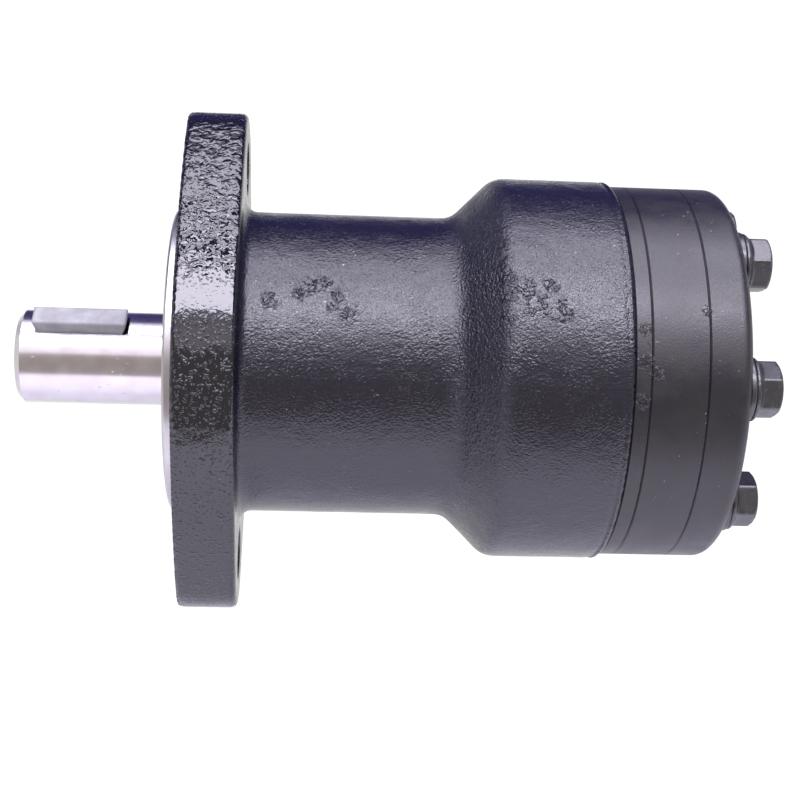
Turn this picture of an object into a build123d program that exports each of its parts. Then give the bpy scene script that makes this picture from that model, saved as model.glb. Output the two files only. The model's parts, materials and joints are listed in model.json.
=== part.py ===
from build123d import *
import math
import os

# Low-speed hydraulic motor: two-bolt flange, keyed straight shaft, spool valve turned by the shaft,
# and a roller gear set behind it. Millimetres. The shaft axis is X: the shaft points to -X, the end
# cover lies at +X, the flange ears reach along Z, and the ports face +Y. X = 0 is the mounting face.
# Angles in the cross section run from +Y towards +Z.

# Mounting flange and locating pilot
PILOT_D = 82.55
PILOT_FRONT = -2.5
FLANGE_T = 16.1
FLANGE_WAIST_R = 46.5
FLANGE_SIDE_R = 148.0
EAR_R = 20.9
EAR_TIP = 68.3
BOLT_SPAN = 106.4
BOLT_HOLE_D = 14.0

# Housing outside
NECK_R = 41.25
BODY_R = 52.5
CONE_START = 72.05
HOUSING_END = 114.5
NECK_FILLET = 3.0

# Shaft and key
SHAFT_D = 25.4
SHAFT_END = -44.5
JOURNAL_D = 28.5
SHOULDER_X = 13.8
KEY_W = 6.35
KEY_R = 12.7
KEY_X = -27.4
KEY_TOP = 15.65
KEY_CENTRE_OVER = 1.9
KEY_ANGLE = 135.0

# Spool valve
SPOOL_R = 19.0
SPOOL_FIT = 0.03
SPOOL_END = 108.0
GROOVE_R = 23.0
GROOVE_A = (45.0, 52.0)
GROOVE_B = (85.0, 92.0)
DRAIN_GROOVE = (24.0, 30.0)
WINDOW = (66.0, 71.0)
PASSAGE_R = 3.0
PASSAGE_PITCH_R = 29.0

# Roller gear set: seven rollers in the ring, six lobes on the star
PLATE_R = 51.25
PLATE_T = 4.25
RING_T = 14.55
COVER_T = 11.4
COVER_EDGE_R = 3.2
ROLLERS = 7
ROLLER_R = 6.25
ROLLER_PITCH_R = 33.0
ROLLER_FIT = 0.05
ECCENTRICITY = 2.7
STAR_GAP = 0.09
RING_INNER_R = 32.45
FACE_GAP = 0.06

# Splines of the cardan shaft
TEETH = 12
SPLINE_MAJOR_R = 11.3
SPLINE_MINOR_R = 9.3
SPLINE_GAP = 0.4
CARDAN_FRONT = 53.0
CARDAN_CROWN = 6.5

# Clamp bolts, M8 with 13 mm flanged hexagon heads, and how far each head has been turned
CLAMP_PITCH_R = 39.9
CLAMP_HOLE_R = 4.3
CLAMP_ANGLE = 186.0
HEAD_AF = 13.0
HEAD_H = 5.6
HEAD_TURNS = (41.0, 29.5, 10.0, 50.0, 33.0, 22.5, 55.0)
HEAD_FLANGE_T = 1.85
HEAD_FLANGE_R = 8.3
WASHER_T = 1.55
WASHER_R = 8.6
THREAD_DEPTH = 18.0

# Ports on the far side
PORT_FACE = 55.0
PORT_X = 58.0
PORT_Z = 21.0
PORT_R = 10.2
PORT_FLOOR = 38.0
VALVE_BORE_R = 4.05
VALVE_A_X = 48.5
VALVE_B_X = 88.5
DRAIN_X = 27.5
DRAIN_FACE = 51.0
DRAIN_R = 4.95
GALLERY_Y = 42.5

PLATE_START = HOUSING_END
RING_START = PLATE_START + PLATE_T
COVER_START = RING_START + RING_T
COVER_END = COVER_START + COVER_T
ROLLER_ANGLE = CLAMP_ANGLE + 180.0 / ROLLERS


def across(x, y=0.0, z=0.0):
    """Plane square to the shaft at x, its own axes along +Y and +Z."""
    return Plane(origin=(x, y, z), x_dir=(0, 1, 0), z_dir=(1, 0, 0))


def rod(radius, start, end, y=0.0, z=0.0):
    """Round bar along X."""
    return extrude(across(start, y, z) * Circle(radius), end - start)


def post(radius, start, end, x, z=0.0):
    """Round bar along Y."""
    plane = Plane(origin=(x, start, z), x_dir=(1, 0, 0), z_dir=(0, 1, 0))
    return extrude(plane * Circle(radius), end - start)


def hex_post(across_flats, start, end, x):
    """Hexagonal bar along Y."""
    plane = Plane(origin=(x, start, 0), x_dir=(1, 0, 0), z_dir=(0, 1, 0))
    return extrude(plane * RegularPolygon(across_flats / math.sqrt(3), 6), end - start)


def turned(*points):
    """Solid turned about the shaft axis from an outline of (x, radius) points."""
    outline = Polyline(*points, close=True)
    return revolve(make_face(outline), Axis.X)


def bar_between(radius, start, end):
    """Round bar between two points."""
    direction = Vector(*end) - Vector(*start)
    return extrude(Plane(origin=start, z_dir=direction) * Circle(radius), direction.length)


def polar(radius, angle):
    """Y and Z of a point in the cross section."""
    return radius * math.cos(math.radians(angle)), radius * math.sin(math.radians(angle))


def around(count, first):
    """Evenly spaced angles."""
    return [first + 360.0 * k / count for k in range(count)]


def group(solids):
    return Compound(children=list(solids))


def seal_ring(x, radius, section):
    """O-ring about the shaft axis."""
    plane = Plane(origin=(x, 0, 0), x_dir=(0, 1, 0), z_dir=(1, 0, 0))
    return plane * Torus(radius, section)


def face_groove(mouth, floor, radius, width):
    """Ring-shaped cut between two X positions."""
    inner = radius - width / 2
    outer = radius + width / 2
    return turned((mouth, inner), (mouth, outer), (floor, outer), (floor, inner))


def spline_void(minor_r, major_r, tooth_share, start, end):
    """Bar with straight-sided teeth, which also cuts the matching hole."""
    bar = rod(minor_r, start, end)
    width = 2 * math.pi * (minor_r + major_r) / 2 / TEETH * tooth_share
    for angle in around(TEETH, 0.0):
        tooth = across(start) * Rot(0, 0, angle) * Pos(major_r / 2, 0) * Rectangle(major_r, width)
        bar += extrude(tooth, end - start)
    return bar & rod(major_r, start, end)


def edges_at(shape, axis, place):
    """Edges that lie wholly in one plane square to an axis."""
    return shape.edges().filter_by_position(axis, place - 0.01, place + 0.01)


# Flange outline: waist, two large side arcs and two ear arcs, each tangent to the next.

def arc_through(circle_centre, radius, start, end):
    """Arc from start to end, bulging away from its centre."""
    middle = (Vector(*start) + Vector(*end)) / 2 - Vector(*circle_centre)
    middle = Vector(*circle_centre) + middle.normalized() * radius
    return ThreePointArc(start, (middle.X, middle.Y), end)


def flange_outline():
    ear_centre = EAR_TIP - EAR_R
    to_waist = FLANGE_SIDE_R - FLANGE_WAIST_R
    to_ear = FLANGE_SIDE_R - EAR_R
    side_z = (to_waist**2 - to_ear**2 + ear_centre**2) / (2 * ear_centre)
    side_y = -math.sqrt(to_waist**2 - side_z**2)
    waist = (-side_y / to_waist * FLANGE_WAIST_R, -side_z / to_waist * FLANGE_WAIST_R)
    ear_scale = EAR_R / to_ear
    ear = (-side_y * ear_scale, ear_centre + (ear_centre - side_z) * ear_scale)
    arcs = []
    for flip in (1, -1):
        near_waist = (waist[0], flip * waist[1])
        near_ear = (ear[0], flip * ear[1])
        far_waist = (-waist[0], flip * waist[1])
        far_ear = (-ear[0], flip * ear[1])
        arcs.append(arc_through((side_y, flip * side_z), FLANGE_SIDE_R, near_waist, near_ear))
        arcs.append(arc_through((0, flip * ear_centre), EAR_R, near_ear, far_ear))
        arcs.append(arc_through((-side_y, flip * side_z), FLANGE_SIDE_R, far_waist, far_ear))
    arcs.append(ThreePointArc((waist[0], -waist[1]), (FLANGE_WAIST_R, 0), waist))
    arcs.append(ThreePointArc((-waist[0], -waist[1]), (-FLANGE_WAIST_R, 0), (-waist[0], waist[1])))
    return make_face(Wire(arcs))


def flange():
    plate = extrude(across(0) * flange_outline(), FLANGE_T)
    plate = fillet(edges_at(plate, Axis.X, 0), 1.2)
    return fillet(edges_at(plate, Axis.X, FLANGE_T), 1.7)


def housing_blank():
    cone_end = CONE_START + BODY_R - NECK_R
    outline = FilletPolyline(
        (8, 0),
        (8, NECK_R + NECK_FILLET + 0.2),
        (FLANGE_T, NECK_R + NECK_FILLET + 0.2),
        (FLANGE_T, NECK_R),
        (CONE_START, NECK_R),
        (cone_end, BODY_R),
        (HOUSING_END, BODY_R),
        (HOUSING_END, 0),
        radius=[0, 0, 0, NECK_FILLET, 6.0, 7.0, 3.0, 0],
        close=True,
    )
    body = flange() + revolve(make_face(outline), Axis.X)
    pilot = turned(
        (PILOT_FRONT, 0),
        (PILOT_FRONT, PILOT_D / 2 - 0.6),
        (PILOT_FRONT + 0.6, PILOT_D / 2),
        (8, PILOT_D / 2),
        (8, 0),
    )
    pad_plane = Plane(origin=(PORT_X + 1.5, 8, 0), x_dir=(1, 0, 0), z_dir=(0, 1, 0))
    pad = extrude(pad_plane * RectangleRounded(40, 80, 9), PORT_FACE - 8)
    pad = chamfer(edges_at(pad, Axis.Y, PORT_FACE), 1.5)
    boss = post(11.0, 20.0, DRAIN_FACE, DRAIN_X)
    boss = chamfer(edges_at(boss, Axis.Y, DRAIN_FACE), 1.0)
    return body + pilot + pad + boss


def housing():
    body = housing_blank()
    cover_seat = rod(35.1, PILOT_FRONT, 9.0)
    bearing_seat = rod(22.6, 9.0, 14.2)
    bore = rod(SPOOL_R + SPOOL_FIT, 14.2, HOUSING_END)
    body = body - cover_seat - bearing_seat - bore
    for first, last in (GROOVE_A, GROOVE_B):
        body -= rod(GROOVE_R, first, last)
    body -= rod(21.5, *DRAIN_GROOVE)
    for z in (-BOLT_SPAN / 2, BOLT_SPAN / 2):
        body -= rod(BOLT_HOLE_D / 2, -1, FLANGE_T + 1, 0, z)
    for angle in around(4, 45.0):
        body -= rod(3.02, 9.0, 21.0, *polar(28.5, angle))
    for angle in around(ROLLERS, CLAMP_ANGLE):
        body -= rod(4.02, HOUSING_END - THREAD_DEPTH - 3, HOUSING_END, *polar(CLAMP_PITCH_R, angle))
        body -= rod(PASSAGE_R, WINDOW[0], HOUSING_END, *polar(PASSAGE_PITCH_R, angle))
        window = across(WINDOW[0]) * Rot(0, 0, angle) * Pos(23.5, 0) * Rectangle(11, 4)
        body -= extrude(window, WINDOW[1] - WINDOW[0])
    body -= face_groove(HOUSING_END, HOUSING_END - 1.5, 47.0, 2.2)
    body -= post(8.0, 51.6, 60.0, VALVE_B_X)
    for x in (VALVE_A_X, VALVE_B_X):
        body -= post(2.2, 20.0, 27.0, x)
        body -= post(VALVE_BORE_R, 26.0, 60.0, x)
    for side, (first, last), angle in ((1, GROOVE_A, 30.0), (-1, GROOVE_B, 314.6)):
        mouth = Plane(origin=(PORT_X, PORT_FACE + 0.1, side * PORT_Z), z_dir=(0, -1, 0))
        body -= extrude(mouth * Circle(16.0), 0.9)
        body -= post(PORT_R, PORT_FLOOR, PORT_FACE, PORT_X, side * PORT_Z)
        lead_in = mouth.offset(0.9) * Circle(PORT_R + 1.5)
        body -= loft([lead_in, mouth.offset(2.4) * Circle(PORT_R)])
        groove_y, groove_z = polar(20.5, angle)
        start = (PORT_X, PORT_FLOOR + 2, side * PORT_Z)
        body -= bar_between(3.4, start, ((first + last) / 2, groove_y, groove_z))
    body -= post(DRAIN_R, 39.0, DRAIN_FACE, DRAIN_X)
    body -= post(1.8, 20.0, 40.0, DRAIN_X)
    body -= rod(1.6, DRAIN_X, VALVE_B_X, GALLERY_Y)
    return body


# Front cover with its seals and screws

def front_cover():
    cover = turned(
        (-2.1, 0),
        (-2.1, 34.5),
        (-1.6, 35.0),
        (9.0, 35.0),
        (9.0, 0),
    )
    cover -= rod(18.1, -2.1, 2.0) + rod(14.6, 2.0, 3.0) + rod(17.6, 3.0, 9.0)
    cover -= face_ring(5.5, 7.6, 33.4, 35.5)
    for angle in around(4, 45.0):
        y, z = polar(28.5, angle)
        cover -= rod(5.4, -2.1, 4.4, y, z) + rod(3.2, 4.4, 9.0, y, z)
    return cover


def face_ring(start, end, inner, outer):
    """Plain ring about the shaft axis."""
    return turned((start, inner), (start, outer), (end, outer), (end, inner))


def socket_screw(angle):
    y, z = polar(28.5, angle)
    head = rod(5.0, -1.6, 4.4, y, z)
    head = chamfer(edges_at(head, Axis.X, -1.6), 0.5)
    screw = head + rod(2.95, 4.4, 19.5, y, z)
    socket = extrude(across(-1.6, y, z) * RegularPolygon(5.0 / math.sqrt(3), 6), 3.0)
    return screw - socket


def dust_seal():
    return turned(
        (-1.9, 18.0), (1.9, 18.0), (1.9, 15.2), (0.7, 14.35), (-0.6, 14.35), (-1.9, 15.6)
    )


def shaft_seal():
    return turned(
        (3.1, 17.5),
        (8.3, 17.5),
        (8.3, 16.8),
        (4.3, 16.8),
        (4.3, 15.6),
        (7.9, 15.6),
        (7.9, 14.9),
        (6.9, 14.33),
        (5.7, 14.33),
        (4.8, 14.9),
        (3.1, 14.9),
    )


# Thrust needle bearing between the front cover and the shoulder of the spool

NEEDLE_R = 1.25
NEEDLE_X = 11.4
NEEDLES = 16


def needle(angle, radius, inner, outer):
    y, z = polar(1.0, angle)
    start = (NEEDLE_X, y * inner, z * inner)
    return bar_between(radius, start, (NEEDLE_X, y * outer, z * outer))


def bearing_cage():
    cage = face_ring(NEEDLE_X - 0.8, NEEDLE_X + 0.8, 14.7, 21.2)
    for angle in around(NEEDLES, 0.0):
        cage -= needle(angle, NEEDLE_R + 0.06, 15.5, 20.7)
    return cage


# Output shaft, one piece with the spool

def key_plane(x):
    y, z = polar(1.0, KEY_ANGLE)
    return Plane(origin=(x, 0, 0), x_dir=(1, 0, 0), z_dir=(0, -z, y))


def key_disc(x, radius, width):
    centre = KEY_TOP + KEY_CENTRE_OVER
    disc = key_plane(x) * Pos(0, centre) * Circle(radius)
    return extrude(disc, width / 2, both=True)


def woodruff_key():
    key = key_disc(KEY_X, KEY_R, KEY_W)
    below_top = key_plane(KEY_X) * Pos(0, KEY_TOP / 2) * Rectangle(3 * KEY_R, KEY_TOP)
    key = key & extrude(below_top, KEY_W, both=True)
    top = key.faces().sort_by(Axis((0, 0, 0), (0, *polar(1.0, KEY_ANGLE))))[-1]
    return chamfer(top.edges(), 0.35)


def keyseat():
    seat = key_disc(KEY_X + 0.6, KEY_R + 0.6, KEY_W + 0.04)
    lead = SHAFT_D / 2
    y, z = polar(1.0, KEY_ANGLE)
    section = Plane(origin=(KEY_X + 0.6 - 11.6, 0, 0), x_dir=(0, -z, y), z_dir=(1, 0, 0))
    half = KEY_W / 2 + 0.02
    wedge = Polyline(
        (-half, -lead + 1.1), (-half - 0.75, -lead - 0.2), (half + 0.75, -lead - 0.2), (half, -lead + 1.1),
        close=True,
    )
    return seat + extrude(section * make_face(wedge), 2 * 11.6)


def output_shaft():
    shaft = turned(
        (SHAFT_END, 0),
        (SHAFT_END, SHAFT_D / 2 - 1.5),
        (SHAFT_END + 1.5, SHAFT_D / 2),
        (-2.2, SHAFT_D / 2),
        (-2.2, JOURNAL_D / 2 - 0.6),
        (-1.6, JOURNAL_D / 2),
        (SHOULDER_X, JOURNAL_D / 2),
        (SHOULDER_X, SPOOL_R - 0.5),
        (SHOULDER_X + 0.5, SPOOL_R),
        (SPOOL_END - 0.5, SPOOL_R),
        (SPOOL_END, SPOOL_R - 0.5),
        (SPOOL_END, 0),
    )
    spline_end = CARDAN_FRONT + CARDAN_CROWN + 0.5
    shaft -= rod(13.4, spline_end, SPOOL_END)
    shaft -= spline_void(SPLINE_MINOR_R, SPLINE_MAJOR_R, 0.55, 43.0, spline_end)
    shaft -= keyseat()
    cone_end = SHAFT_END + 3.0
    drill_end = SHAFT_END + 7.0
    shaft -= turned((SHAFT_END, 0), (SHAFT_END, 3.0), (cone_end, 1.3), (drill_end, 1.3), (drill_end, 0))
    for first, last, start_angle in ((46.0, 71.0, 0.0), (66.0, 91.0, 30.0)):
        for angle in around(6, start_angle + KEY_ANGLE):
            slot = across(first) * Rot(0, 0, angle) * Pos(SPOOL_R, 0) * Rectangle(5.0, 4.0)
            shaft -= extrude(slot, last - first)
    return shaft


# Gear set

def star_point(turn):
    """Point of the star's outline about its own centre, kept clear of the rollers by STAR_GAP."""
    x = ROLLER_PITCH_R * math.cos(turn) - ECCENTRICITY * math.cos(ROLLERS * turn)
    y = ROLLER_PITCH_R * math.sin(turn) - ECCENTRICITY * math.sin(ROLLERS * turn)
    dx = -ROLLER_PITCH_R * math.sin(turn) + ROLLERS * ECCENTRICITY * math.sin(ROLLERS * turn)
    dy = ROLLER_PITCH_R * math.cos(turn) - ROLLERS * ECCENTRICITY * math.cos(ROLLERS * turn)
    inset = (ROLLER_R + STAR_GAP) / math.hypot(dx, dy)
    return x - dy * inset, y + dx * inset


def star_centre():
    return polar(ECCENTRICITY, ROLLER_ANGLE)


def star():
    steps = 96
    points = [star_point(2 * math.pi * k / steps) for k in range(steps)]
    outline = make_face(Spline(*points, periodic=True))
    start = RING_START + FACE_GAP
    length = RING_T - 2 * FACE_GAP
    plane = across(start, *star_centre())
    body = extrude(plane * Rot(0, 0, ROLLER_ANGLE) * outline, length)
    hole = spline_void(SPLINE_MINOR_R, SPLINE_MAJOR_R, 0.55, start, start + length)
    return body - Pos(0, *star_centre()) * hole


def cardan_rear_x():
    return RING_START + FACE_GAP + CARDAN_CROWN + 0.2


def crowned_spline(middle):
    """Short toothed head whose tips follow a barrel, so that it can tilt in its straight spline."""
    half = CARDAN_CROWN - 0.3
    teeth = spline_void(
        SPLINE_MINOR_R - SPLINE_GAP, SPLINE_MAJOR_R - SPLINE_GAP, 0.36, middle - half, middle + half
    )
    tip = SPLINE_MAJOR_R - SPLINE_GAP
    barrel = make_face(
        [
            Line((middle - half, 0), (middle - half, tip - 1.4)),
            ThreePointArc((middle - half, tip - 1.4), (middle, tip), (middle + half, tip - 1.4)),
            Line((middle + half, tip - 1.4), (middle + half, 0)),
            Line((middle + half, 0), (middle - half, 0)),
        ]
    )
    return teeth & revolve(barrel, Axis.X)


def cardan_shaft():
    """Drive link, built straight on the axis and tilted about its front head to meet the star."""
    rear = cardan_rear_x()
    link = crowned_spline(CARDAN_FRONT) + crowned_spline(rear)
    link += turned(
        (CARDAN_FRONT, 0),
        (CARDAN_FRONT, 8.4),
        (CARDAN_FRONT + 9, 8.4),
        (CARDAN_FRONT + 13, 7.2),
        (rear - 13, 7.2),
        (rear - 9, 8.4),
        (rear, 8.4),
        (rear, 0),
    )
    tilt = math.degrees(math.atan2(ECCENTRICITY, rear - CARDAN_FRONT))
    spin_to_star = Rot(ROLLER_ANGLE, 0, 0)
    head = Pos(CARDAN_FRONT, 0, 0)
    return head * spin_to_star * Rot(0, 0, tilt) * spin_to_star.inverse() * head.inverse() * link


def gear_ring():
    ring = plate_blank(RING_START, RING_T) - rod(RING_INNER_R, RING_START, COVER_START)
    for angle in around(ROLLERS, ROLLER_ANGLE):
        ring -= rod(ROLLER_R + ROLLER_FIT, RING_START, COVER_START, *polar(ROLLER_PITCH_R, angle))
    return ring - clamp_holes(RING_START, COVER_START)


def plate_blank(start, thickness):
    """Round plate with finely broken edges."""
    end = start + thickness
    edge = 0.35
    rim = ((start, PLATE_R - edge), (start + edge, PLATE_R), (end - edge, PLATE_R), (end, PLATE_R - edge))
    return turned((start, 0), *rim, (end, 0))


def clamp_holes(start, end):
    holes = [rod(CLAMP_HOLE_R, start, end, *polar(CLAMP_PITCH_R, a)) for a in around(ROLLERS, CLAMP_ANGLE)]
    return group(holes)


def spacer_plate():
    plate = plate_blank(PLATE_START, PLATE_T) - rod(14.0, PLATE_START, RING_START)
    for angle in around(ROLLERS, CLAMP_ANGLE):
        plate -= rod(PASSAGE_R, PLATE_START, RING_START, *polar(PASSAGE_PITCH_R, angle))
    plate -= face_groove(RING_START, RING_START - 1.5, 47.0, 2.2)
    return plate - clamp_holes(PLATE_START, RING_START)


def roller(angle):
    start = RING_START + FACE_GAP
    end = COVER_START - FACE_GAP
    y, z = polar(ROLLER_PITCH_R, angle)
    pin = rod(ROLLER_R, start, end, y, z)
    return chamfer(pin.edges().filter_by(GeomType.CIRCLE), 0.4)


def drive_spacer():
    end = COVER_START - FACE_GAP
    return rod(SPLINE_MINOR_R - 0.15, end - 0.9, end, *star_centre())


def end_cover():
    edge = 0.35
    outline = FilletPolyline(
        (COVER_START, 0),
        (COVER_START, PLATE_R - edge),
        (COVER_START + edge, PLATE_R),
        (COVER_END, PLATE_R),
        (COVER_END, 0),
        radius=[0, 0, 0, COVER_EDGE_R, 0],
        close=True,
    )
    cover = revolve(make_face(outline), Axis.X) - clamp_holes(COVER_START, COVER_END)
    return cover - face_groove(COVER_START, COVER_START + 1.5, 47.0, 2.2)


# Clamp bolts and washers

def clamp_bolt(angle, turn):
    y, z = polar(CLAMP_PITCH_R, angle)
    seat = COVER_END + WASHER_T
    flange_end = seat + HEAD_FLANGE_T
    top = flange_end + HEAD_H
    corner = HEAD_AF / math.sqrt(3)
    head = extrude(across(seat, y, z) * Rot(0, 0, turn) * RegularPolygon(corner, 6), top - seat)
    cap = turned((seat, 0), (seat, corner + 0.3), (top - 0.95, corner + 0.3), (top, 6.0), (top, 0))
    head_flange = FilletPolyline(
        (seat, 0),
        (seat, HEAD_FLANGE_R),
        (seat + 1.0, HEAD_FLANGE_R),
        (flange_end + 0.2, HEAD_AF / 2 + 0.2),
        (flange_end + 0.2, 0),
        radius=[0, 0.4, 0.6, 0, 0],
        close=True,
    )
    head = head & (Pos(0, y, z) * cap)
    thread_end = HOUSING_END - THREAD_DEPTH
    shank = rod(3.96, thread_end, seat, y, z)
    shank = chamfer(edges_at(shank, Axis.X, thread_end), 0.8)
    return head + Pos(0, y, z) * revolve(make_face(head_flange), Axis.X) + shank


def clamp_washer(angle):
    end = COVER_END + WASHER_T
    corners = ((COVER_END, 4.2), (COVER_END, WASHER_R), (end, WASHER_R), (end, 4.2))
    section = FilletPolyline(*corners, radius=[0, 0.35, 0.5, 0], close=True)
    return Pos(0, *polar(CLAMP_PITCH_R, angle)) * revolve(make_face(section), Axis.X)


# Check valves and case drain on the far side

BALL_Y = 33.2
BALL_R = 3.0
SEAT_START = 35.0
SPRING_WIRE = 0.8
SPRING_R = 2.2


def check_spring(x):
    length = 3.9
    path = Helix(pitch=1.25, height=length, radius=SPRING_R)
    wire = Plane(origin=path @ 0, z_dir=path % 0) * Circle(SPRING_WIRE / 2)
    coil = sweep(wire, path=path)
    stand = Plane(origin=(x, 26.5, 0), x_dir=(1, 0, 0), z_dir=(0, 1, 0))
    return stand * coil


def check_seat(x):
    insert = post(VALVE_BORE_R - 0.03, SEAT_START, 40.0, x) - post(1.9, SEAT_START, 40.0, x)
    mouth = Plane(origin=(x, SEAT_START, 0), z_dir=(0, 1, 0))
    return insert - loft([mouth * Circle(2.5), mouth.offset(0.6) * Circle(1.9)])


def check_plug(x, top):
    plug = post(VALVE_BORE_R - 0.05, top - 6.5, top, x)
    return plug - hex_post(4.0, top - 3.0, top, x)


def drain_plug():
    seat = DRAIN_FACE + 1.5
    collar = seat + 1.6
    top = collar + 5.0
    plug = post(DRAIN_R - 0.05, DRAIN_FACE - 6.3, seat, DRAIN_X) + post(8.2, seat, collar, DRAIN_X)
    head = hex_post(14.0, collar, top, DRAIN_X)
    return plug + chamfer(edges_at(head, Axis.Y, top), 0.6)


def drain_seal_ring():
    end = DRAIN_FACE + 1.5
    return post(8.4, DRAIN_FACE, end, DRAIN_X) - post(DRAIN_R, DRAIN_FACE, end, DRAIN_X)


def parts():
    clamp_angles = around(ROLLERS, CLAMP_ANGLE)
    yield "housing", housing()
    yield "front_cover", front_cover()
    yield "front_cover_screws", group(socket_screw(a) for a in around(4, 45.0))
    yield "front_cover_o_ring", seal_ring(6.55, 34.25, 0.8)
    yield "dust_seal", dust_seal()
    yield "shaft_seal", shaft_seal()
    yield "seal_garter_spring", seal_ring(7.0, 16.15, 0.45)
    yield "thrust_washer_front", face_ring(9.05, 10.1, 14.7, 21.5)
    yield "thrust_washer_rear", face_ring(12.7, 13.75, 14.35, 21.5)
    yield "thrust_bearing_cage", bearing_cage()
    yield "thrust_bearing_needles", group(needle(a, NEEDLE_R, 15.55, 20.65) for a in around(NEEDLES, 0.0))
    yield "output_shaft", output_shaft()
    yield "woodruff_key", woodruff_key()
    yield "cardan_shaft", cardan_shaft()
    yield "spacer_plate", spacer_plate()
    yield "gear_ring", gear_ring()
    for number, angle in enumerate(around(ROLLERS, ROLLER_ANGLE), start=1):
        yield f"roller_{number}", roller(angle)
    yield "star", star()
    yield "drive_spacer", drive_spacer()
    yield "end_cover", end_cover()
    yield "end_cover_bolts", group(clamp_bolt(a, t) for a, t in zip(clamp_angles, HEAD_TURNS))
    yield "bolt_washers", group(clamp_washer(a) for a in clamp_angles)
    yield "housing_o_ring", seal_ring(HOUSING_END - 0.77, 47.0, 0.72)
    yield "spacer_o_ring", seal_ring(RING_START - 0.77, 47.0, 0.72)
    yield "cover_o_ring", seal_ring(COVER_START + 0.77, 47.0, 0.72)
    for letter, x in (("a", VALVE_A_X), ("b", VALVE_B_X)):
        yield f"check_ball_{letter}", Pos(x, BALL_Y, 0) * Sphere(BALL_R)
        yield f"check_spring_{letter}", check_spring(x)
    yield "check_seats", group(check_seat(x) for x in (VALVE_A_X, VALVE_B_X))
    yield "check_plugs", group((check_plug(VALVE_A_X, 54.5), check_plug(VALVE_B_X, 51.2)))
    yield "drain_plug", drain_plug()
    yield "drain_seal_ring", drain_seal_ring()


os.makedirs("parts", exist_ok=True)
for name, shape in parts():
    export_step(shape, f"parts/{name}.step")
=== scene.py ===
"""Looks of the hydraulic motor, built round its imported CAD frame.

The rough-cast outside of the housing is a fine mesh grown from the CAD housing, and its bare turned
pilot, port seats and port threads are pieces of their own. The clamp bolts are a finely meshed copy with
worn corners. Every other piece is the CAD node itself under a procedural material. All lengths are metres
in the row frame: the shaft points to -X, the ears lie along Z, the ports face +Y.
"""

import json
import math

import bmesh
import bpy
import numpy as np
from mathutils import Matrix, Vector, noise

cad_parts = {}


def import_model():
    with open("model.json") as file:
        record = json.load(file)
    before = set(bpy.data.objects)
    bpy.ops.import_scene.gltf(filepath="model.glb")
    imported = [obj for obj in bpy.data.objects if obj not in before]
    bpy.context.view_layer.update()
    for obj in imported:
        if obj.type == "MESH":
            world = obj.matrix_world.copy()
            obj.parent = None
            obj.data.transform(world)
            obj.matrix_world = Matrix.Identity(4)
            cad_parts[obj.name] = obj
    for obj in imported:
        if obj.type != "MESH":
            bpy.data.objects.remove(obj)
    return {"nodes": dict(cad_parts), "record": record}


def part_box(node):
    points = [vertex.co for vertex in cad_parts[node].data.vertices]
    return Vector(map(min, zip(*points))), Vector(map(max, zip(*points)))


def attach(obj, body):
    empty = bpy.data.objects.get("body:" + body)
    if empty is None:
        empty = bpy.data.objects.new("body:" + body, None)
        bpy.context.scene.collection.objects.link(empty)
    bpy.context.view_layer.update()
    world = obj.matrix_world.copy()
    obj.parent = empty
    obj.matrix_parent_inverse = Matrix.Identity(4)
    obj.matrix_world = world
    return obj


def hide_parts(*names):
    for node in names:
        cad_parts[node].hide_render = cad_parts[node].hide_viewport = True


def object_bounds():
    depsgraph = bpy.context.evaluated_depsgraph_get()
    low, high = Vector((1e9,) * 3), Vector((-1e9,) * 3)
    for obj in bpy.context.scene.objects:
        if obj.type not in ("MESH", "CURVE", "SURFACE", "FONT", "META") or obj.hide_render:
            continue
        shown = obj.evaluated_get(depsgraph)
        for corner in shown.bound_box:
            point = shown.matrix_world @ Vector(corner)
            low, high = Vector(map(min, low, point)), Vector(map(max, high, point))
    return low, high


MM = 0.001
LILAC = (0.90, 0.86, 1.0)
LIGHT_DISTANCE = 0.9

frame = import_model()
nodes = frame["nodes"]
cad_low, cad_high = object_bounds()


# ---------------------------------------------------------------- materials

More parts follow.
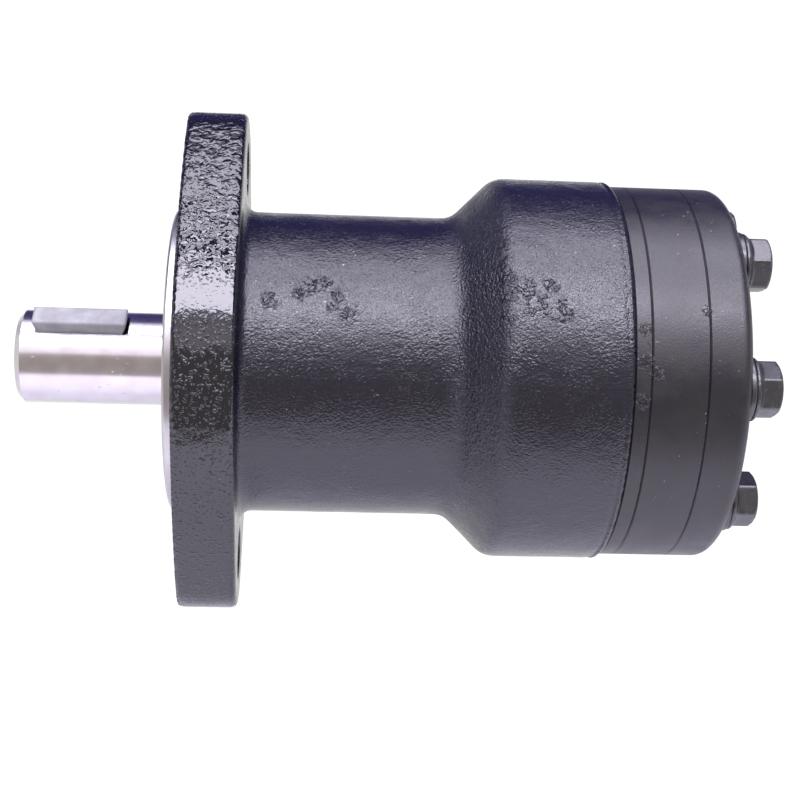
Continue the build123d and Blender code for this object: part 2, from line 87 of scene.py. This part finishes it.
class Paint:
    """Builds one procedural material whose patterns are sized in metres on the part."""

    def __init__(self, name, **sockets):
        self.material = bpy.data.materials.new(name)
        self.material.use_nodes = True
        self.tree = self.material.node_tree
        self.tree.nodes.clear()
        self.shader = self.node("ShaderNodeBsdfPrincipled")
        output = self.node("ShaderNodeOutputMaterial")
        self.tree.links.new(self.shader.outputs[0], output.inputs[0])
        self.place = self.node("ShaderNodeTexCoord").outputs["Object"]
        self.normal = None
        for socket, value in sockets.items():
            self.shader.inputs[socket.replace("_", " ")].default_value = value

    def node(self, kind, **settings):
        made = self.tree.nodes.new(kind)
        for key, value in settings.items():
            setattr(made, key, value)
        return made

    def feed(self, socket, value):
        if isinstance(value, bpy.types.NodeSocket):
            self.tree.links.new(value, socket)
        elif value is not None:
            socket.default_value = value

    def put(self, socket, value):
        self.feed(self.shader.inputs[socket], value)

    def maths(self, operation, a, b=0.0):
        made = self.node("ShaderNodeMath", operation=operation)
        self.feed(made.inputs[0], a)
        self.feed(made.inputs[1], b)
        return made.outputs[0]

    def times(self, a, b):
        return self.maths("MULTIPLY", a, b)

    def plus(self, a, b):
        return self.maths("ADD", a, b)

    def less(self, a, b):
        return self.maths("SUBTRACT", a, b)

    def any_of(self, masks):
        """The largest of several masks at each place."""
        masks = iter(masks)
        joined = next(masks)
        for mask in masks:
            joined = self.maths("MAXIMUM", joined, mask)
        return joined

    def parts(self):
        """The position on the part as separate X, Y and Z."""
        made = self.node("ShaderNodeSeparateXYZ")
        self.feed(made.inputs[0], self.place)
        return made.outputs

    def vector(self, x, y, z):
        made = self.node("ShaderNodeCombineXYZ")
        for socket, value in zip(made.inputs, (x, y, z)):
            self.feed(socket, value)
        return made.outputs[0]

    def noise(self, size, detail=2.0, rough=0.5, at=None, twist=0.0):
        made = self.node("ShaderNodeTexNoise")
        self.feed(made.inputs["Vector"], at or self.place)
        made.inputs["Scale"].default_value = 1.0 / size
        made.inputs["Detail"].default_value = detail
        made.inputs["Roughness"].default_value = rough
        made.inputs["Distortion"].default_value = twist
        return made.outputs[0]

    def cells(self, size, at):
        """Distance to the nearest of many scattered points, in units of that size."""
        made = self.node("ShaderNodeTexVoronoi")
        self.feed(made.inputs["Vector"], at)
        made.inputs["Scale"].default_value = 1.0 / size
        return made.outputs[0]

    def span(self, value, low, high, start=0.0, end=1.0):
        """Maps low..high onto start..end and holds the ends."""
        made = self.node("ShaderNodeMapRange", clamp=True)
        for socket, number in zip(made.inputs, (value, low, high, start, end)):
            self.feed(socket, number)
        return made.outputs[0]

    def mix(self, factor, a, b):
        made = self.node("ShaderNodeMix", data_type="RGBA")
        self.feed(made.inputs[0], factor)
        self.feed(made.inputs[6], a)
        self.feed(made.inputs[7], b)
        return made.outputs[2]

    def bump(self, height, depth):
        """Adds relief whose full height range stands for that depth in metres."""
        made = self.node("ShaderNodeBump")
        made.inputs["Strength"].default_value = 1.0
        made.inputs["Distance"].default_value = depth
        self.feed(made.inputs["Height"], height)
        if self.normal is not None:
            self.feed(made.inputs["Normal"], self.normal)
        self.normal = made.outputs[0]
        self.put("Normal", self.normal)

    def near(self, centre, radius):
        """1 at that place on the part, fading to 0 at the radius."""
        made = self.node("ShaderNodeVectorMath", operation="DISTANCE")
        self.feed(made.inputs[0], self.place)
        made.inputs[1].default_value = centre
        ragged = self.times(self.noise(radius * 0.4, 3.0, 0.6), radius)
        return self.span(self.plus(made.outputs["Value"], ragged), radius * 1.45, radius * 0.9)

    def stroke(self, centre, slope, length):
        """1 along a thin wandering line with that dz/dx on the front of the part, 0 away from it."""
        x, y, z = self.parts()
        run = 1 / math.hypot(1, slope)
        dx = self.less(x, centre[0])
        dz = self.less(z, centre[2])
        wobble = self.times(self.plus(self.noise(2 * MM, 2.0), -0.5), 0.8 * MM)
        along = self.plus(self.times(dx, run), self.times(dz, slope * run))
        rise = self.times(dz, run)
        across = self.less(rise, self.times(dx, slope * run))
        across = self.maths("ABSOLUTE", self.plus(across, wobble))
        inside = self.span(self.maths("ABSOLUTE", along), length / 2, length / 2 - 1 * MM)
        front = self.span(y, -1 * MM, -2 * MM)
        line = self.times(self.span(across, SCRATCH_W, SCRATCH_W * 0.4), inside)
        return self.times(line, front)

    def around_axis(self):
        """Distance along the shaft and distance from the shaft axis."""
        x, y, z = self.parts()
        squares = self.plus(self.times(y, y), self.times(z, z))
        return x, self.maths("SQRT", squares)


# Patches where the enamel has run and pitted: (centre on the surface, radius)
SCARS = (
    ((0.0345, -0.0365, 0.0192), 0.0036),
    ((0.0315, -0.0375, 0.0170), 0.0028),
    ((0.0375, -0.0365, 0.0200), 0.0024),
    ((0.0240, -0.0380, 0.0150), 0.0030),
    ((0.0410, -0.0365, 0.0165), 0.0026),
    ((0.0440, -0.0385, 0.0120), 0.0034),
    ((0.0400, -0.0390, 0.0140), 0.0022),
    ((0.0830, -0.0380, 0.0340), 0.0020),
    ((0.0830, -0.0410, 0.0300), 0.0024),
    ((0.0830, -0.0440, 0.0260), 0.0022),
    ((0.0832, -0.0465, 0.0215), 0.0028),
    ((0.0832, -0.0480, 0.0170), 0.0026),
    ((0.0832, -0.0495, 0.0120), 0.0024),
    ((0.0870, -0.0480, 0.0190), 0.0040),
    ((0.0900, -0.0490, 0.0150), 0.0045),
    ((0.0960, -0.0495, 0.0140), 0.0040),
    ((0.0930, -0.0480, 0.0200), 0.0030),
)

# Chips in the paint of the plates: (centre on the surface, radius)
CHIPS = (
    ((0.1168, -0.0500, 0.0100), 0.0020),
    ((0.1170, -0.0508, 0.0020), 0.0026),
    ((0.1165, -0.0508, -0.0080), 0.0024),
    ((0.1200, -0.0509, -0.0010), 0.0022),
    ((0.1325, -0.0490, 0.0150), 0.0016),
)

# Scratches in the same paint: (centre, slope of the line as dz/dx, length)
SCRATCH_W = 0.16 * MM
SCRATCHES = (
    ((0.1235, -0.0500, -0.0045), -1.15, 0.0075),
    ((0.1180, -0.0500, 0.0060), -1.4, 0.0025),
)


def grey(level, blue=0.0):
    return (level, level, level * (1 + blue), 1.0)


def cast_enamel():
    """Black enamel over rough sand-cast iron: satin on the neck and body, rougher on the cone."""
    paint = Paint("cast_enamel", IOR=1.6)
    x, _, _ = paint.parts()
    cone = paint.times(paint.span(x, 67 * MM, 73 * MM), paint.span(x, 86 * MM, 82 * MM))
    scars = paint.any_of(paint.near(centre, radius) for centre, radius in SCARS)
    broad = paint.noise(14 * MM, 3.0)
    patches = paint.noise(9 * MM, 3.0, 0.6)
    lumps = paint.span(paint.noise(1.7 * MM, 2.0, 0.5, twist=0.5), 0.42, 0.58)
    sand = paint.noise(0.72 * MM, 2.0, 0.55)
    grain = paint.noise(0.42 * MM, 1.0, 0.6)
    specks = paint.span(paint.noise(0.55 * MM, 0.0), 0.83, 0.87)
    shade = paint.mix(broad, (0.003, 0.003, 0.008, 1.0), (0.005, 0.005, 0.012, 1.0))
    paint.put("Base Color", paint.mix(specks, shade, grey(0.12)))
    satin = paint.plus(paint.span(patches, 0.35, 0.65, 0.13, 0.25), paint.times(cone, 0.12))
    paint.put("Roughness", paint.times(satin, paint.span(scars, 0.0, 0.5, 1.0, 0.2)))
    coarse = paint.plus(paint.span(patches, 0.38, 0.6, 1.0, 0.35), paint.times(cone, 0.8))
    paint.bump(paint.times(lumps, scars), 0.4 * MM)
    paint.bump(paint.times(sand, coarse), 0.27 * MM)
    paint.bump(grain, 0.11 * MM)
    return paint.material


def flange_enamel():
    """Thick glossy enamel round the flange's edge, lumpy above the shaft and finely pitted below."""
    paint = Paint("flange_enamel", IOR=1.66)
    _, _, z = paint.parts()
    upper = paint.times(paint.span(z, 18 * MM, 24 * MM), paint.span(z, 66.5 * MM, 64 * MM))
    calm = paint.times(paint.span(z, 10 * MM, 12 * MM), paint.span(z, 21 * MM, 18 * MM))
    lumps = paint.noise(2.2 * MM, 1.0, 0.5, twist=0.7)
    ripples = paint.noise(0.9 * MM, 1.0, 0.5, twist=0.6)
    pits = paint.span(paint.noise(0.85 * MM, 1.0, 0.5), 0.56, 0.68)
    patches = paint.noise(8 * MM, 3.0, 0.6)
    paint.put("Base Color", paint.mix(patches, (0.002, 0.002, 0.004, 1.0), (0.004, 0.004, 0.007, 1.0)))
    paint.put("Roughness", paint.span(patches, 0.35, 0.65, 0.05, 0.09))
    paint.bump(paint.times(lumps, upper), 0.68 * MM)
    paint.bump(paint.times(ripples, paint.span(calm, 0.0, 1.0, 1.0, 0.5)), 0.04 * MM)
    lower = paint.span(paint.maths("MAXIMUM", calm, upper), 0.0, 1.0, 1.0, 0.1)
    paint.bump(paint.times(pits, lower), 0.14 * MM)
    return paint.material


def plate_paint():
    """Thin satin black paint over ground plates: fine grain, thin spots, chips and a scratch or two."""
    paint = Paint("plate_paint", IOR=1.6)
    broad = paint.noise(16 * MM, 3.0)
    blotch = paint.span(paint.noise(7 * MM, 4.0, 0.65), 0.45, 0.62)
    grain = paint.noise(0.5 * MM, 3.0, 0.6)
    specks = paint.span(paint.noise(0.6 * MM, 0.0), 0.84, 0.87)
    chipped = paint.any_of(paint.near(centre, radius) for centre, radius in CHIPS)
    flakes = paint.times(chipped, paint.span(paint.noise(0.9 * MM, 3.0, 0.6), 0.48, 0.56))
    scratch = paint.any_of(paint.stroke(*line) for line in SCRATCHES)
    shade = paint.mix(broad, (0.0045, 0.0042, 0.0065, 1.0), (0.0095, 0.0082, 0.0095, 1.0))
    shade = paint.mix(paint.times(blotch, 0.6), shade, (0.0035, 0.0035, 0.009, 1.0))
    shade = paint.mix(paint.times(scratch, 0.8), shade, grey(0.002))
    paint.put("Base Color", paint.mix(specks, shade, grey(0.15)))
    satin = paint.less(paint.span(broad, 0.3, 0.7, 0.38, 0.48), paint.times(blotch, 0.06))
    gloss = paint.times(chipped, 0.22)
    paint.put("Roughness", paint.less(satin, gloss))
    paint.bump(grain, 0.06 * MM)
    paint.bump(flakes, 0.3 * MM)
    paint.bump(scratch, -0.1 * MM)
    return paint.material


def black_oxide():
    """Dark blackened steel that has rubbed lighter in places."""
    paint = Paint("black_oxide", IOR=1.8)
    blotch = paint.noise(3.0 * MM, 3.0)
    grain = paint.noise(0.25 * MM, 2.0)
    worn = paint.span(paint.noise(1.1 * MM, 3.0, 0.6), 0.6, 0.68)
    dark = paint.mix(blotch, (0.009, 0.009, 0.011, 1.0), (0.018, 0.017, 0.020, 1.0))
    paint.put("Base Color", paint.mix(paint.times(worn, 0.5), dark, grey(0.16)))
    paint.put("Metallic", paint.times(worn, 0.5))
    paint.put("Roughness", paint.span(blotch, 0.3, 0.7, 0.28, 0.4))
    paint.bump(grain, 0.01 * MM)
    return paint.material


def turned_steel(name, tint, low_rough, high_rough, line=0.12 * MM, depth=0.004 * MM):
    """Bright steel with fine tool lines running round the shaft axis and a few slanted nicks."""
    paint = Paint(name, Metallic=1.0)
    along, radius = paint.around_axis()
    lines = paint.noise(line, 3.0, 0.7, at=paint.vector(along, radius, 0.0))
    broad = paint.noise(9 * MM, 3.0)
    x, y, z = paint.parts()
    slanted = paint.vector(paint.times(x, 0.3), paint.times(y, 0.8), paint.plus(z, paint.times(x, 0.12)))
    nicks = paint.span(paint.cells(1.1 * MM, slanted), 0.11, 0.07)
    nicks = paint.times(nicks, paint.span(paint.noise(6 * MM, 2.0), 0.5, 0.56))
    second = (tint[0] * 0.93, tint[1] * 0.9, tint[2] * 0.9, 1.0)
    warm = paint.mix(paint.span(paint.noise(5 * MM, 2.0), 0.35, 0.65), tint, second)
    paint.put("Base Color", paint.mix(paint.times(nicks, 0.5), warm, grey(0.1)))
    paint.put("Roughness", paint.span(broad, 0.3, 0.7, low_rough, high_rough))
    paint.bump(lines, depth)
    paint.bump(nicks, -0.06 * MM)
    return paint.material


def key_steel():
    """Ground key with a granular, lightly oxidised satin face."""
    paint = Paint("key_steel", Metallic=0.35)
    grain = paint.noise(0.3 * MM, 3.0, 0.65)
    broad = paint.noise(4 * MM, 3.0)
    paint.put("Base Color", paint.mix(paint.span(broad, 0.35, 0.65), grey(0.25, 0.03), grey(0.33, 0.03)))
    paint.put("Roughness", paint.span(grain, 0.3, 0.7, 0.55, 0.7))
    paint.bump(grain, 0.12 * MM)
    return paint.material


def plain_steel(name, level, low_rough, high_rough, blue=0.03):
    """Hardened or plated steel with fine grain and soft blotches."""
    paint = Paint(name, Metallic=1.0)
    broad = paint.noise(4 * MM, 3.0)
    grain = paint.noise(0.2 * MM, 2.0)
    paint.put("Base Color", paint.mix(broad, grey(level * 0.8, blue), grey(level * 1.1, blue)))
    paint.put("Roughness", paint.span(broad, 0.3, 0.7, low_rough, high_rough))
    paint.bump(grain, 0.006 * MM)
    return paint.material


def seal_rubber():
    """Matt black nitrile with moulding grain and dust."""
    paint = Paint("seal_rubber", Specular_IOR_Level=0.4)
    grain = paint.noise(0.3 * MM, 3.0, 0.6)
    dust = paint.span(paint.noise(3 * MM, 4.0, 0.6), 0.45, 0.8)
    paint.put("Base Color", paint.mix(dust, grey(0.012), grey(0.035)))
    paint.put("Roughness", paint.span(grain, 0.3, 0.7, 0.55, 0.75))
    paint.bump(grain, 0.02 * MM)
    return paint.material


FRONT_COVER_STEEL = turned_steel("front_cover_steel", (0.5, 0.5, 0.52, 1.0), 0.28, 0.4, 0.2 * MM, 0.01 * MM)

LOOKS = {
    "cast_enamel": cast_enamel(),
    "plate_paint": plate_paint(),
    "black_oxide": black_oxide(),
    "shaft_steel": turned_steel("shaft_steel", (0.60, 0.58, 0.59, 1.0), 0.18, 0.24),
    "front_cover_steel": FRONT_COVER_STEEL,
    "key_steel": key_steel(),
    "bearing_steel": plain_steel("bearing_steel", 0.62, 0.12, 0.2),
    "hard_steel": plain_steel("hard_steel", 0.5, 0.25, 0.36),
    "zinc_steel": plain_steel("zinc_steel", 0.6, 0.3, 0.44, 0.08),
    "seal_rubber": seal_rubber(),
}
FLANGE_ENAMEL = flange_enamel()
PORT_STEEL = plain_steel("port_steel", 0.42, 0.3, 0.42)
PILOT_STEEL = turned_steel("pilot_steel", (0.5, 0.49, 0.49, 1.0), 0.3, 0.38, 0.16 * MM, 0.008 * MM)


def dress(piece, slot, look=None):
    piece.data.materials.clear()
    piece.data.materials.append(look or LOOKS[slot])


for entry in frame["record"]["subparts"]:
    dress(nodes[entry["node"]], entry["material_slot"])


def ease_edges(node, width):
    """Rounds the sharp corners of a CAD piece, inwards, with modifiers only."""
    piece = nodes[node]
    weld = piece.modifiers.new("weld", "WELD")
    weld.merge_threshold = 0.002 * MM
    bevel = piece.modifiers.new("bevel", "BEVEL")
    bevel.width = width
    bevel.segments = 3
    bevel.limit_method = "ANGLE"
    bevel.angle_limit = math.radians(40)
    bevel.use_clamp_overlap = False


ease_edges("woodruff_key", 0.45 * MM)


# ---------------------------------------------------------------- housing

def add_piece(name, mesh, body, slot, look=None):
    piece = bpy.data.objects.new(name, mesh)
    bpy.context.scene.collection.objects.link(piece)
    dress(piece, slot, look)
    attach(piece, body)
    return piece


def vertex_table(mesh, what="co"):
    source = mesh.vertices if what == "co" else mesh.vertex_normals
    field = "co" if what == "co" else "vector"
    table = np.zeros(len(mesh.vertices) * 3, np.float32)
    source.foreach_get(field, table)
    return table.reshape(-1, 3).astype(float)


def voxel_copy(node, size):
    """A new even mesh of a CAD node."""
    mesh = nodes[node].data.copy()
    work = bmesh.new()
    work.from_mesh(mesh)
    bmesh.ops.remove_doubles(work, verts=work.verts, dist=1e-6)
    work.to_mesh(mesh)
    work.free()
    holder = bpy.data.objects.new("holder", mesh)
    bpy.context.scene.collection.objects.link(holder)
    remesh = holder.modifiers.new("remesh", "REMESH")
    remesh.mode = "VOXEL"
    remesh.voxel_size = size
    remesh.use_smooth_shade = True
    smooth = holder.modifiers.new("smooth", "SMOOTH")
    smooth.iterations = 2
    smooth.factor = 0.5
    graph = bpy.context.evaluated_depsgraph_get()
    made = bpy.data.meshes.new_from_object(holder.evaluated_get(graph))
    bpy.data.objects.remove(holder)
    return made


def drop_vertices(mesh, doomed):
    work = bmesh.new()
    work.from_mesh(mesh)
    work.verts.ensure_lookup_table()
    bmesh.ops.delete(work, geom=[work.verts[i] for i in np.flatnonzero(doomed)], context="VERTS")
    work.to_mesh(mesh)
    work.free()


def lathe(name, profile, segments=192):
    """A closed ring turned round the shaft axis from (x, radius) points."""
    work = bmesh.new()
    rings = []
    for step in range(segments):
        turn = 2 * math.pi * step / segments
        spoke = (math.cos(turn), math.sin(turn))
        rings.append([work.verts.new((x, r * spoke[0], r * spoke[1])) for x, r in profile])
    count = len(profile)
    for step in range(segments):
        here, there = rings[step], rings[(step + 1) % segments]
        for i in range(count):
            j = (i + 1) % count
            work.faces.new((here[i], here[j], there[j], there[i]))
    bmesh.ops.recalc_face_normals(work, faces=work.faces)
    mesh = bpy.data.meshes.new(name)
    work.to_mesh(mesh)
    work.free()
    mesh.shade_smooth()
    mesh.set_sharp_from_angle(angle=math.radians(30))
    return mesh


worn_bolts = voxel_copy("end_cover_bolts", 0.42 * MM)
worn_bolts.shade_smooth()
bolts = add_piece("end_cover_bolts_worn", worn_bolts, "motor_body", "black_oxide")
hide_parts("end_cover_bolts")

housing_low, housing_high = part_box("housing")
REAR_X = housing_high.x
BODY_R = 52.4 * MM
BORE_R = 35 * MM
FLANGE_T = 16.1 * MM
PARTING_Z = -4.5 * MM
CAST_DEPTH = 0.16 * MM

PILOT_X = housing_low.x
PILOT_R = 41.275 * MM
PILOT_BORE_R = 35.1 * MM

PORT_X = 58 * MM
PORT_Z = (-21 * MM, 21 * MM)
PORT_TOP = 54.2 * MM
PORT_FLOOR = 38 * MM
PORT_R = 10.2 * MM
PORT_ROOT_R = 11.1 * MM
PORT_PITCH = 1.814 * MM
SPOTFACE_R = 15.9 * MM
PORT_SEGMENTS = 72


def in_port(x, z, radius):
    return any((x - PORT_X) ** 2 + (z - port_z) ** 2 < radius * radius for port_z in PORT_Z)


def drop_inside(mesh):
    """Takes away the inner walls, which the front cover, shaft and plates hide, and the turned pilot."""
    place = vertex_table(mesh)
    x = place[:, 0]
    out = np.hypot(place[:, 1], place[:, 2])
    inside = (out < BORE_R - 1 * MM) & (x > 3 * MM) & (x < REAR_X - 2.5 * MM)
    drop_vertices(mesh, inside | (x < -0.3 * MM))


def open_ports(place):
    """Moves the port bores out past the thread roots, to leave room for the threads."""
    bore = PORT_ROOT_R + 0.3 * MM
    for port_z in PORT_Z:
        off_x, off_z = place[:, 0] - PORT_X, place[:, 2] - port_z
        reach = np.hypot(off_x, off_z)
        wall = (reach > 9 * MM) & (reach < 11 * MM) & (place[:, 1] > PORT_FLOOR - 1 * MM)
        place[wall, 0] = PORT_X + off_x[wall] * bore / reach[wall]
        place[wall, 2] = port_z + off_z[wall] * bore / reach[wall]


def square_machined(place, normals):
    """Flattens the front face, sharpens the rear edge, and says which vertices are machined."""
    x = place[:, 0]
    out = np.hypot(place[:, 1], place[:, 2])
    front = (x < 0.5 * MM) & (normals[:, 0] < -0.7)
    place[front, 0] = 0.0
    machined = front | (x > REAR_X - 0.6 * MM) | (out < BORE_R)
    from_port = np.minimum(*(np.hypot(x - PORT_X, place[:, 2] - port_z) for port_z in PORT_Z))
    machined |= (from_port < SPOTFACE_R) & (place[:, 1] > PORT_FLOOR - 2 * MM)
    rear_edge = (x > REAR_X - 1.4 * MM) & (out > BODY_R - 1.6 * MM)
    rear_side = rear_edge & (normals[:, 0] < 0.7)
    place[rear_side, 1:] *= (BODY_R / out[rear_side])[:, None]
    place[rear_edge & ~rear_side, 0] = REAR_X
    return machined | rear_edge


def cast_sink(spot):
    """How far the cast surface lies inside the CAD surface at a place: rolling, and least on the seam."""
    at = Vector(spot)
    rolling = 0.5 * noise.noise(at / (3.2 * MM)) + 0.5 * noise.noise(at / (9 * MM))
    seam = PARTING_Z + 0.5 * MM * noise.noise(Vector((spot[0], 0, 0)) / (12 * MM))
    off_seam = min(1.0, abs(spot[2] - seam) / (0.8 * MM))
    return (0.5 + 0.5 * rolling) * CAST_DEPTH * (0.25 + 0.75 * off_seam)


def paint_regions(mesh):
    """Gives the flange's edge its glossy enamel and the port bores bare steel."""
    mesh.materials.append(FLANGE_ENAMEL)
    mesh.materials.append(PORT_STEEL)
    for face in mesh.polygons:
        centre = face.center
        on_flange = 0.6 * MM < centre.x < FLANGE_T - 0.2 * MM
        on_rim = math.hypot(centre.y, centre.z) > 42 * MM and abs(face.normal.x) < 0.75
        if on_flange and on_rim:
            face.material_index = 1
        elif in_port(centre.x, centre.z, PORT_ROOT_R + 0.7 * MM) and centre.y > PORT_FLOOR - 1 * MM:
            face.material_index = 2


def housing_casting():
    mesh = voxel_copy("housing", 0.75 * MM)
    drop_inside(mesh)
    casting = add_piece("housing_casting", mesh, "motor_body", "cast_enamel")
    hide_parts("housing")
    place = vertex_table(mesh)
    normals = vertex_table(mesh, "normal")
    open_ports(place)
    machined = square_machined(place, normals)
    sink = np.array([0.0 if flat else cast_sink(spot) for spot, flat in zip(place, machined)])
    place -= normals * sink[:, None]
    mesh.vertices.foreach_set("co", place.astype(np.float32).ravel())
    mesh.update()
    mesh.shade_smooth()
    paint_regions(mesh)


def housing_pilot():
    """The turned pilot, with a small lead-in chamfer."""
    mesh = lathe("housing_pilot", [
        (PILOT_X, PILOT_BORE_R + 0.5 * MM),
        (PILOT_X, PILOT_R - 0.6 * MM),
        (PILOT_X + 0.15 * MM, PILOT_R - 0.35 * MM),
        (PILOT_X + 0.6 * MM, PILOT_R),
        (0.8 * MM, PILOT_R),
        (0.8 * MM, PILOT_BORE_R),
        (PILOT_X + 0.5 * MM, PILOT_BORE_R),
    ])
    add_piece("housing_pilot", mesh, "motor_body", "cast_enamel", PILOT_STEEL)


def port_thread(name, port_z):
    """The threaded wall of one port: a helix of V grooves under a plain collar at the mouth."""
    work = bmesh.new()
    turns = int((PORT_TOP - PORT_FLOOR - 2 * MM) / PORT_PITCH)
    start = PORT_TOP - 0.7 * MM
    steps = turns * PORT_SEGMENTS
    crests, roots = [], []
    for step in range(steps + PORT_SEGMENTS + 1):
        turn = 2 * math.pi * step / PORT_SEGMENTS
        y = start - PORT_PITCH * step / PORT_SEGMENTS
        spoke = (math.cos(turn), math.sin(turn))
        for row, radius, drop in ((crests, PORT_R, 0.0), (roots, PORT_ROOT_R, PORT_PITCH / 2)):
            here = (PORT_X + radius * spoke[0], y - drop, port_z + radius * spoke[1])
            row.append(work.verts.new(here))
    for step in range(steps + PORT_SEGMENTS):
        work.faces.new((crests[step], crests[step + 1], roots[step + 1], roots[step]))
        if step < steps:
            below = step + PORT_SEGMENTS
            work.faces.new((roots[step], roots[step + 1], crests[below + 1], crests[below]))
    mouth = [work.verts.new((v.co.x, PORT_TOP, v.co.z)) for v in crests[:PORT_SEGMENTS + 1]]
    for step in range(PORT_SEGMENTS):
        work.faces.new((mouth[step], mouth[step + 1], crests[step + 1], crests[step]))
    bmesh.ops.remove_doubles(work, verts=work.verts, dist=1e-6)
    mesh = bpy.data.meshes.new(name)
    work.to_mesh(mesh)
    work.free()
    add_piece(name, mesh, "motor_body", "cast_enamel", PORT_STEEL)


def port_seat(name, port_z):
    """The machined seat round one port, with the chamfer at its mouth."""
    mesh = lathe(name, [
        (PORT_TOP + 0.05 * MM, SPOTFACE_R),
        (PORT_TOP + 0.05 * MM, PORT_ROOT_R + 0.2 * MM),
        (PORT_TOP - 0.9 * MM, PORT_R),
        (PORT_TOP - 1.1 * MM, PORT_ROOT_R + 0.9 * MM),
        (PORT_TOP - 0.2 * MM, PORT_ROOT_R + 0.9 * MM),
        (PORT_TOP - 0.2 * MM, SPOTFACE_R),
    ], PORT_SEGMENTS)
    mesh.transform(Matrix.Translation((PORT_X, 0, port_z)) @ Matrix.Rotation(math.radians(90), 4, "Z"))
    add_piece(name, mesh, "motor_body", "cast_enamel", PORT_STEEL)


housing_casting()
housing_pilot()
for label, port_z in zip("ab", PORT_Z):
    port_thread("port_thread_" + label, port_z)
    port_seat("port_thread_" + label + "_mouth", port_z)


# ---------------------------------------------------------------- stage

def floor():
    """A pale sheet well below the motor, which hangs by its flange. It ends before it shows in the picture."""
    mesh = bpy.data.meshes.new("floor")
    level = cad_low.z - 0.13
    left, right, near, far = -0.8, 0.9, -0.2, 0.24
    corners = [(left, near, level), (right, near, level), (right, far, level), (left, far, level)]
    mesh.from_pydata(corners, [], [(0, 1, 2, 3)])
    sheet = bpy.data.objects.new("floor", mesh)
    bpy.context.scene.collection.objects.link(sheet)
    paint = Paint("floor", Roughness=0.7, Base_Color=(0.93, 0.93, 0.93, 1.0))
    mesh.materials.append(paint.material)


def soft_light(name, elevation, width, height, radiance):
    """A rectangular softbox that faces the motor. Elevation 0 is in front and 90 overhead."""
    data = bpy.data.lights.new(name, "AREA")
    data.shape = "RECTANGLE"
    data.size = width
    data.size_y = height
    data.energy = radiance * math.pi * width * height
    data.color = LILAC
    lamp = bpy.data.objects.new(name, data)
    bpy.context.scene.collection.objects.link(lamp)
    rise = math.radians(elevation)
    aim = Vector((0, -math.cos(rise), math.sin(rise)))
    lamp.location = (cad_low + cad_high) / 2 + aim * LIGHT_DISTANCE
    side = Vector((1, 0, 0))
    up = aim.cross(side)
    lamp.visible_camera = False
    lamp.rotation_mode = "QUATERNION"
    lamp.rotation_quaternion = Matrix((side, up, aim)).transposed().to_quaternion()


def world():
    """A white backdrop behind, a dimmer room in front, and a dark navy ceiling behind the softboxes."""
    made = bpy.data.worlds.new("studio")
    made.use_nodes = True
    tree = made.node_tree
    split = tree.nodes.new("ShaderNodeSeparateXYZ")
    tree.links.new(tree.nodes.new("ShaderNodeTexCoord").outputs["Generated"], split.inputs[0])

    def blend(value, low, high, below, above):
        share = tree.nodes.new("ShaderNodeMapRange")
        share.inputs[1].default_value = low
        share.inputs[2].default_value = high
        tree.links.new(value, share.inputs[0])
        mix = tree.nodes.new("ShaderNodeMix")
        mix.data_type = "RGBA"
        tree.links.new(share.outputs[0], mix.inputs[0])
        for socket, colour in ((mix.inputs[6], below), (mix.inputs[7], above)):
            if isinstance(colour, tuple):
                socket.default_value = colour
            else:
                tree.links.new(colour, socket)
        return mix.outputs[2]

    walls = blend(split.outputs[1], -0.3, 0.3, (0.50, 0.45, 0.43, 1.0), (1.1, 1.1, 1.1, 1.0))
    sky = blend(split.outputs[2], 0.3, 0.5, walls, (0.06, 0.055, 0.2, 1.0))
    tree.links.new(sky, tree.nodes["Background"].inputs[0])
    bpy.context.scene.world = made


def camera():
    """The photo's viewpoint, from the sizes of the pilot, shaft and flange in it."""
    data = bpy.data.cameras.new("camera")
    data.lens = 65.29
    data.sensor_width = 36.0
    data.clip_start = 0.01
    view = bpy.data.objects.new("camera", data)
    bpy.context.scene.collection.objects.link(view)
    yaw, pitch, roll = (math.radians(angle) for angle in (-3.61, -0.74, -1.45))
    turned = Matrix.Rotation(yaw, 3, "Z") @ Matrix.Rotation(pitch, 3, "X") @ Matrix.Rotation(roll, 3, "Y")
    looking = turned @ Matrix.Rotation(math.radians(90), 3, "X")
    view.rotation_mode = "QUATERNION"
    view.rotation_quaternion = looking.to_quaternion()
    view.location = (0.0342, -0.4044, -0.0044)
    bpy.context.scene.camera = view


floor()
world()
camera()
soft_light("low_panel", 20, 1.6, 0.42, 1.2)
soft_light("front_softbox", 40.5, 1.5, 0.28, 12.5)
soft_light("overhead_softbox", 73, 1.6, 0.32, 6.8)
soft_light("top_softbox", 90, 1.6, 0.22, 1.2)
bpy.context.scene.view_settings.view_transform = "Standard"
